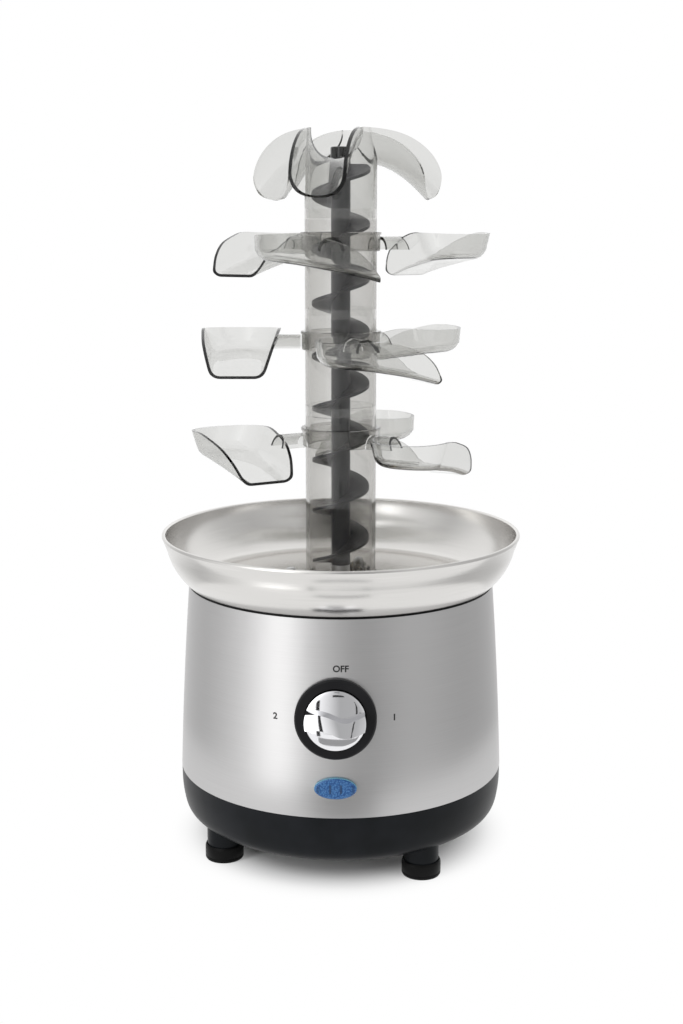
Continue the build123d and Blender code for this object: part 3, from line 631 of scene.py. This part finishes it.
def armShape():
    # Half a ring drawn out from the collar to the middle of the tub's wall
    start = tower["flange"] + tower["play"] - scoop["circle"]
    end = -scoop["half"]
    bpy.ops.object.select_all(action="DESELECT")
    bpy.ops.mesh.primitive_circle_add(
        vertices=48, radius=scoop["armRadius"] * mm, rotation=(math.pi / 2, 0, 0))
    piece = bpy.context.object
    piece.name = "arm"
    bpy.ops.object.transform_apply(location=True, rotation=True, scale=True)
    bpy.ops.object.mode_set(mode="EDIT")
    pickVerts(piece, lambda x, y, z: z < -0.01)
    bpy.ops.mesh.delete(type="VERT")
    bpy.ops.mesh.select_all(action="SELECT")
    bpy.ops.mesh.extrude_region_move(TRANSFORM_OT_translate={"value": (0, 0, 0)})
    inner = 1 - scoop["armWall"] / scoop["armRadius"]
    bpy.ops.transform.resize(value=(inner, 1, inner), center_override=(0, 0, 0))
    bpy.ops.mesh.select_all(action="SELECT")
    bpy.ops.transform.translate(value=(scoop["armOffset"] * mm, start * mm, -scoop["armDrop"] * mm))
    bpy.ops.mesh.extrude_region_move(TRANSFORM_OT_translate={"value": (0, (end - start) * mm, 0)})
    bpy.ops.mesh.select_all(action="SELECT")
    bpy.ops.mesh.normals_make_consistent(inside=False)
    bpy.ops.object.mode_set(mode="OBJECT")
    # Its far end follows the slope of the tub's side
    for vert in piece.data.vertices:
        if vert.co.y > (end - 1) * mm:
            vert.co.y = (scoop["armBite"] - sideHalf(vert.co.z / mm)) * mm
    return piece


def makeScoop():
    rim = smoothLine(list(scoop["rim"]), 5)
    below = [(scoop["rim"][-1][0], scoop["below"]), (scoop["rim"][0][0], scoop["below"])]
    shape = trough("scoopShape", scoop["above"])
    joinTool(shape, sideBlock("belowRim", rim + below, 60), "INTERSECT")
    joinTool(shape, armShape(), "UNION")
    selectOnly(shape)
    bpy.ops.object.mode_set(mode="EDIT")
    bpy.ops.mesh.select_all(action="SELECT")
    bpy.ops.mesh.remove_doubles(threshold=weld["scoop"])
    bpy.ops.object.mode_set(mode="OBJECT")
    bpy.ops.object.shade_smooth_by_angle(angle=math.radians(smooth["scoop"]))
    return shape


def addTiers():
    shape = makeScoop()
    print("scoop shaped:", len(shape.data.polygons), "faces")
    collar, flange, edge = tower["collar"], tower["flange"], tower["edge"]
    bore = tower["radius"] + tower["play"]
    for k, tier in enumerate(("upper", "middle", "lower")):
        top = tower["seam"] - k * tower["pitch"] - tower["collarDrop"]
        low, lip = top - tower["collarHeight"], top - tower["flangeThick"]
        ring = turnedShape(f"dressed_{tier}_collar", [
            (bore, low), (collar - edge, low), (collar, low + edge), (collar, lip),
            (flange, lip + tower["step"]), (flange, top - edge), (flange - edge, top), (bore, top),
            (bore, low)], 96)
        setFinish(ring, smokeTube)
        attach(ring, f"{tier}_tier")
        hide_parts(f"{tier}_collar")
        for number in (1, 2, 3):
            angle = math.radians(tower["firstAngles"][k] + 120 * (number - 1))
            piece = shape.copy()
            piece.data = shape.data.copy()
            piece.name = f"dressed_{tier}_scoop_{number}"
            bpy.context.scene.collection.objects.link(piece)
            piece.location = (scoop["circle"] * math.cos(angle) * mm,
                              scoop["circle"] * math.sin(angle) * mm,
                              (top - scoop["rimDrop"]) * mm)
            piece.rotation_euler = (0, 0, angle - math.pi / 2)
            selectOnly(piece)
            bpy.ops.object.transform_apply(location=True, rotation=True, scale=True)
            setFinish(piece, smokeScoop)
            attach(piece, f"{tier}_tier")
            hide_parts(f"{tier}_scoop_{number}")
    bpy.data.objects.remove(shape, do_unlink=True)


addTiers()
print("tiers dressed")

# Knob: domed skirt with a tall wavy grip across it, built lying down and then set on its spindle
knob = {"radius": 18.0, "low": 1.0, "skirt": 5.4, "dome": 8.2, "domeRings": 17, "shoulder": 0.5,
        "gripLow": 2, "high": 15.5, "foot": 12.0, "top": 9.0, "split": 8, "edge": 0.7, "crown": 45.0,
        "inset": 0.05, "plane": (-2.996, -100.945, 109.2), "tilt": 3.33, "turn": -1.7,
        "wave": ((-20.0, 0.0), (-10.8, 1.3), (-3.6, 0.0), (2.5, -2.6), (7.6, -3.2), (13.0, -1.8),
                 (20.0, 1.3))}


def domeOutline():
    radius, skirt, shoulder = knob["radius"], knob["skirt"], knob["shoulder"]
    rise = knob["dome"] - skirt
    ball = (radius ** 2 + rise ** 2) / (2 * rise)
    outline = [(radius, knob["low"]), (radius, skirt - shoulder),
               (radius - 0.15, skirt - 0.15), (radius - shoulder, skirt + 0.05)]
    for n in range(1, knob["domeRings"]):
        r = (radius - shoulder) * (1 - n / knob["domeRings"])
        outline.append((r, knob["dome"] - ball + math.sqrt(ball ** 2 - r ** 2)))
    return outline


def addKnob():
    outline = domeOutline()
    piece = turnedShape("dressed_knob", outline, 96, filled=True)
    selectOnly(piece)
    bpy.ops.object.mode_set(mode="EDIT")
    last = outline[-1][0]
    pickVerts(piece, lambda x, y, z: z > knob["skirt"] and math.hypot(x, y) < last + 0.1)
    bpy.ops.mesh.merge(type="CENTER")
    bpy.ops.mesh.select_all(action="SELECT")
    bpy.ops.mesh.normals_make_consistent(inside=False)
    bpy.ops.object.mode_set(mode="OBJECT")
    # Grip: a band drawn out along the wave, raised, its flanks leaning in
    wave = smoothLine(list(knob["wave"]), 6)
    bpy.ops.object.select_all(action="DESELECT")
    bpy.ops.mesh.primitive_plane_add(size=1, location=(0, 0, 0))
    grip = bpy.context.object
    grip.name = "grip"
    bpy.ops.object.mode_set(mode="EDIT")
    pickVerts(grip, lambda x, y, z: x > 0)
    bpy.ops.mesh.delete(type="VERT")
    bpy.ops.mesh.select_all(action="SELECT")
    bpy.ops.transform.resize(value=(1, knob["foot"] * mm, 1), center_override=(0, 0, 0))
    bpy.ops.transform.translate(value=(0.5 + wave[0][0] * mm, wave[0][1] * mm, knob["gripLow"] * mm))
    for (x0, y0), (x1, y1) in zip(wave, wave[1:]):
        shift = ((x1 - x0) * mm, (y1 - y0) * mm, 0)
        bpy.ops.mesh.extrude_region_move(TRANSFORM_OT_translate={"value": shift})
    bpy.ops.mesh.select_all(action="SELECT")
    rise = (0, 0, (knob["high"] - knob["gripLow"]) * mm)
    bpy.ops.mesh.extrude_region_move(TRANSFORM_OT_translate={"value": rise})

    def waveAt(x):
        return min(wave, key=lambda point: abs(point[0] - x))[1]

    lean = (knob["foot"] - knob["top"]) / 2
    for side in (-1, 1):
        pickVerts(grip, lambda x, y, z: z > knob["split"] and (y - waveAt(x)) * side > 0)
        bpy.ops.transform.translate(value=(0, -side * lean * mm, 0))
    bpy.ops.mesh.select_all(action="SELECT")
    bpy.ops.mesh.normals_make_consistent(inside=False)
    bpy.ops.object.mode_set(mode="OBJECT")
    bpy.ops.object.select_all(action="DESELECT")
    # Trimmed to the skirt's circle, then to a wide arc along its top
    bpy.ops.mesh.primitive_cylinder_add(vertices=96, radius=(knob["radius"] - knob["inset"]) * mm, depth=0.04)
    joinTool(grip, bpy.context.object, "INTERSECT")
    bpy.ops.object.select_all(action="DESELECT")
    bpy.ops.mesh.primitive_cylinder_add(
        vertices=256, radius=knob["crown"] * mm, depth=0.08, rotation=(math.pi / 2, 0, 0),
        location=(0, 0, (knob["high"] - knob["crown"]) * mm))
    joinTool(grip, bpy.context.object, "INTERSECT")
    soft = grip.modifiers.new("softEdges", "BEVEL")
    soft.width = knob["edge"] * mm
    soft.segments = 4
    soft.limit_method = "ANGLE"
    soft.angle_limit = math.radians(50)
    selectOnly(grip)
    bpy.ops.object.modifier_apply(modifier=soft.name)
    joinTool(piece, grip, "UNION")
    piece.rotation_euler = (math.radians(90 - knob["tilt"]), 0, math.radians(knob["turn"]))
    piece.location = [value * mm for value in knob["plane"]]
    selectOnly(piece)
    bpy.ops.object.transform_apply(location=True, rotation=True, scale=True)
    bpy.ops.object.shade_smooth_by_angle(angle=math.radians(smooth["knob"]))
    setFinish(piece, knobChrome)
    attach(piece, "knob")
    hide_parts("knob")


addKnob()
print("knob dressed")

# The knob's marks: word, place across and height, in mm; each starts ahead of the shell and is laid on it
marks = {"size": 5.3 * mm, "bold": 0.16 * mm, "lift": 0.05 * mm, "thick": 0.04 * mm, "ahead": 130 * mm,
         "list": (("OFF", 0.0, 138.6), ("1", 31.5, 108.2), ("2", -38.5, 108.2))}
inkBlack = makeMoulded(
    "inkBlack", dark=(0.012, 0.012, 0.012), light=(0.02, 0.02, 0.02), rough=0.55,
    pebbles=900.0, depth=0.00001)


def addMark(word, across, height):
    bpy.ops.object.select_all(action="DESELECT")
    bpy.ops.object.text_add(
        location=(across * mm, -marks["ahead"], height * mm), rotation=(math.pi / 2, 0, 0))
    piece = bpy.context.object
    piece.data.body = word
    piece.data.size = marks["size"]
    piece.data.offset = marks["bold"]
    piece.data.align_x = "CENTER"
    piece.data.align_y = "CENTER"
    bpy.ops.object.convert(target="MESH")
    piece = bpy.context.object
    bpy.ops.object.transform_apply(location=True, rotation=True, scale=True)
    wrap = piece.modifiers.new("onShell", "SHRINKWRAP")
    wrap.target = nodes["steel_shell"]
    wrap.wrap_method = "PROJECT"
    wrap.use_project_y = True
    wrap.use_positive_direction = True
    wrap.wrap_mode = "ABOVE_SURFACE"
    wrap.offset = marks["lift"]
    bpy.ops.object.modifier_apply(modifier=wrap.name)
    body = piece.modifiers.new("ink", "SOLIDIFY")
    body.thickness = marks["thick"]
    bpy.ops.object.modifier_apply(modifier=body.name)
    piece.name = "mark_" + word.lower()
    piece.data.materials.append(inkBlack)
    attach(piece, "base")


for word, across, height in marks["list"]:
    addMark(word, across, height)
print("marks placed")

# Floor, room, lamps and camera, in metres
studio = {"floor": 6.0, "floorColour": 0.8, "whiteStart": 0.066, "whiteEnd": 0.114,
          "worldFill": 0.8, "ringRadius": 0.3, "ringLow": 0.0, "ringHigh": 0.6}
# Brightness of the room round the object: azimuth 0 is behind the camera, positive to its right
ringLevels = ((-180, 1.15), (-130, 0.95), (-97, 0.58), (-55, 1.0), (-36, 2.3), (-18, 1.1), (1, 0.45),
              (18.5, 0.48), (39, 0.72), (80, 0.54), (112, 0.66), (137, 0.95), (180, 1.15))
# Lamps: place, aim, width, height, watts
lamps = {"softLeft": ((-1.25, -1.05, 0.75), (0, 0, 0.2), 0.5, 1.6, 16.0),
         "softTop": ((0.0, -0.2, 1.9), (0, 0, 0.2), 1.6, 1.2, 14.0),
         "softRight": ((1.6, -0.9, 0.9), (0, 0, 0.2), 0.9, 1.4, 8.0)}
# Cards: azimuth, distance, width, low edge, high edge, brightness
cards = {"cardLeft": (-17.4, 0.28, 0.015, 0.0, 0.16, 0.03),
         "cardRight": (15, 0.28, 0.007, 0.0, 0.16, 0.03),
         "cardOval": (0, 0.28, 0.050, 0.176, 0.190, 0.03),
         "cardHigh": (-1, 0.28, 0.034, 0.236, 0.252, 0.03),
         "cardLow": (1, 0.20, 0.12, 0.010, 0.038, 0.35)}
view = {"sensor": 36, "focalPixels": 1454.7, "imageHeight": 1024,
        "place": (0.00046, -0.90927, 0.3925), "pitch": 0.196}


def seenDirectly(tree):
    # 1 for the camera's rays and for what glass and metal show, 0 for the light on the object
    path = tree.nodes.new("ShaderNodeLightPath")
    seen = maths(tree, "MAXIMUM", path.outputs["Is Camera Ray"], path.outputs["Is Transmission Ray"])
    return maths(tree, "MAXIMUM", seen, path.outputs["Is Glossy Ray"])


def addFloor():
    bpy.ops.object.select_all(action="DESELECT")
    bpy.ops.mesh.primitive_plane_add(size=studio["floor"] * 2, location=(0, 0, 0))
    floor = bpy.context.object
    floor.name = "floor"
    material, tree, shader = startMaterial("floorWhite", {"Roughness": 0.9, "Specular IOR Level": 0.0})
    shader.inputs["Base Color"].default_value = (studio["floorColour"],) * 3 + (1,)
    out = tree.nodes["Material Output"]
    # Under the object the floor keeps its shadow; further out it fades to plain white
    place = tree.nodes.new("ShaderNodeTexCoord")
    away = tree.nodes.new("ShaderNodeVectorMath")
    away.operation = "LENGTH"
    tree.links.new(place.outputs["Object"], away.inputs[0])
    fade = tree.nodes.new("ShaderNodeMapRange")
    fade.interpolation_type = "SMOOTHSTEP"
    fade.inputs["From Min"].default_value = studio["whiteStart"]
    fade.inputs["From Max"].default_value = studio["whiteEnd"]
    tree.links.new(away.outputs["Value"], fade.inputs["Value"])
    glow = tree.nodes.new("ShaderNodeEmission")
    mix = tree.nodes.new("ShaderNodeMixShader")
    tree.links.new(maths(tree, "MULTIPLY", seenDirectly(tree), fade.outputs["Result"]), mix.inputs["Fac"])
    tree.links.new(shader.outputs[0], mix.inputs[1])
    tree.links.new(glow.outputs[0], mix.inputs[2])
    tree.links.new(mix.outputs[0], out.inputs["Surface"])
    floor.data.materials.append(material)


def addWorld():
    world = bpy.data.worlds.new("studio")
    bpy.context.scene.world = world
    world.use_nodes = True
    tree = world.node_tree
    back = tree.nodes["Background"]
    back.inputs["Color"].default_value = (1, 1, 1, 1)
    level = between(tree, seenDirectly(tree), studio["worldFill"], 1.0)
    tree.links.new(level, back.inputs["Strength"])


def startGlow(name):
    # A material that only shines
    material, tree, shader = startMaterial(name, {})
    tree.nodes.remove(shader)
    glow = tree.nodes.new("ShaderNodeEmission")
    tree.links.new(glow.outputs[0], tree.nodes["Material Output"].inputs["Surface"])
    return material, tree, glow


def showToMetal(piece, material):
    # Only reflections see it: it lights nothing and hides nothing
    piece.data.materials.append(material)
    for kind in ("camera", "diffuse", "transmission", "shadow", "volume_scatter"):
        setattr(piece, "visible_" + kind, False)


def addRing():
    # The room as metal sees it: one tall wall whose brightness changes softly from side to side
    low, high = studio["ringLow"], studio["ringHigh"]
    bpy.ops.object.select_all(action="DESELECT")
    bpy.ops.mesh.primitive_cylinder_add(
        vertices=96, radius=studio["ringRadius"], depth=high - low,
        end_fill_type="NOTHING", location=(0, 0, (high + low) / 2))
    ring = bpy.context.object
    ring.name = "room"
    bpy.ops.object.transform_apply(location=True, rotation=True, scale=True)
    material, tree, glow = startGlow("roomLight")
    place = tree.nodes.new("ShaderNodeTexCoord")
    split = tree.nodes.new("ShaderNodeSeparateXYZ")
    tree.links.new(place.outputs["Object"], split.inputs[0])
    turn = maths(tree, "ARCTAN2", split.outputs["X"], maths(tree, "MULTIPLY", split.outputs["Y"], -1.0))
    share = maths(tree, "ADD", maths(tree, "DIVIDE", turn, 2 * math.pi), 0.5)
    ramp = tree.nodes.new("ShaderNodeValToRGB")
    stops = ramp.color_ramp.elements
    for index, (azimuth, level) in enumerate(ringLevels):
        spot = (azimuth + 180) / 360
        stop = stops[index] if index < 2 else stops.new(spot)
        stop.position = spot
        stop.color = (level, level, level, 1)
    tree.links.new(share, ramp.inputs["Fac"])
    tree.links.new(ramp.outputs["Color"], glow.inputs["Color"])
    showToMetal(ring, material)


def addLamp(name, place, aim, width, height, watts):
    data = bpy.data.lights.new(name, "AREA")
    data.shape = "RECTANGLE"
    data.size = width
    data.size_y = height
    data.energy = watts
    lamp = bpy.data.objects.new(name, data)
    bpy.context.scene.collection.objects.link(lamp)
    lamp.location = place
    lamp.rotation_euler = (Vector(aim) - Vector(place)).to_track_quat("-Z", "Y").to_euler()
    lamp.visible_camera = False
    lamp.visible_transmission = False
    lamp.visible_glossy = False


def addCard(name, azimuth, distance, width, low, high, level):
    # A small card that only shiny things see, such as the camera's stand or a lamp's edge
    turn = math.radians(azimuth)
    place = (math.sin(turn) * distance, -math.cos(turn) * distance, (low + high) / 2)
    bpy.ops.object.select_all(action="DESELECT")
    bpy.ops.mesh.primitive_plane_add(size=1, location=place, rotation=(math.pi / 2, 0, turn))
    card = bpy.context.object
    card.name = name
    card.scale = (width, high - low, 1)
    bpy.ops.object.transform_apply(location=True, rotation=True, scale=True)
    material, tree, glow = startGlow(name)
    glow.inputs["Strength"].default_value = level
    showToMetal(card, material)


def addCamera():
    data = bpy.data.cameras.new("camera")
    data.lens = view["sensor"] * view["focalPixels"] / view["imageHeight"]
    data.sensor_width = view["sensor"]
    camera = bpy.data.objects.new("camera", data)
    bpy.context.scene.collection.objects.link(camera)
    camera.location = view["place"]
    camera.rotation_euler = (math.pi / 2 - view["pitch"], 0, 0)
    bpy.context.scene.camera = camera


addFloor()
addWorld()
for name, numbers in lamps.items():
    addLamp(name, *numbers)
addRing()
for name, numbers in cards.items():
    addCard(name, *numbers)
addCamera()
print("studio set")
bpy.context.scene.view_settings.view_transform = "Standard"
bpy.context.scene.cycles.transmission_bounces = 24
bpy.context.scene.cycles.max_bounces = 24
bpy.context.scene.cycles.transparent_max_bounces = 24
